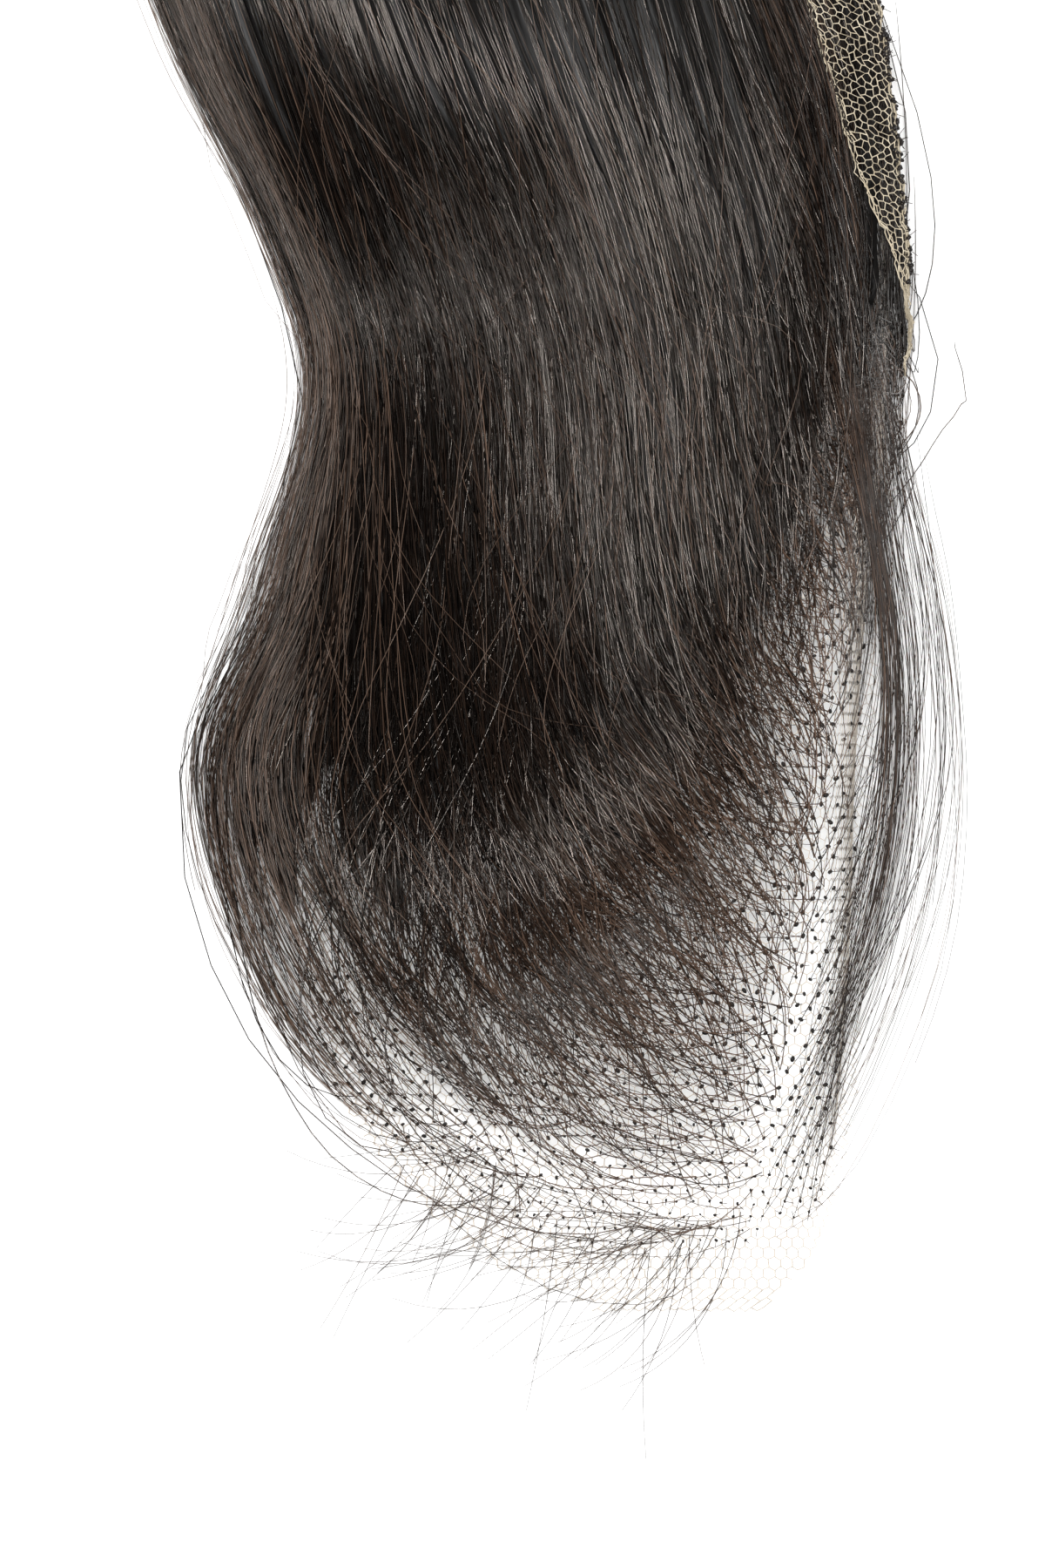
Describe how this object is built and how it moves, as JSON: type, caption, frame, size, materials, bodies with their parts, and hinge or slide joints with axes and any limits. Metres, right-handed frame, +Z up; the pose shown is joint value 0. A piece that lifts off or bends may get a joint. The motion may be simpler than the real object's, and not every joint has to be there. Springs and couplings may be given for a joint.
{
  "type": "lace closure hairpiece",
  "caption": "Lace closure lying on a table: dark wavy hair tied to an arched net, combed back over it from the hairline to a long tail, with a turned-over net border.",
  "frame": {"origin": "middle of the footprint, on the table", "axes": "+X to the right of the front hairline seen from in front, +Y from the hairline to the hair's tips, +Z up"},
  "size_m": [0.0816, 0.302, 0.0318],
  "materials": {
    "lace": "fine beige net, matte",
    "border_net": "tan hexagon net, matte",
    "hair": "black-brown hair with a soft gloss",
    "hair_sparse": "dark brown strands with a soft gloss"
  },
  "bodies": {
    "root": {"lace_base": "lace", "lace_border": "border_net", "hair_main_fall": "hair", "hair_side_lock": "hair_sparse"}
  },
  "joints": []
}
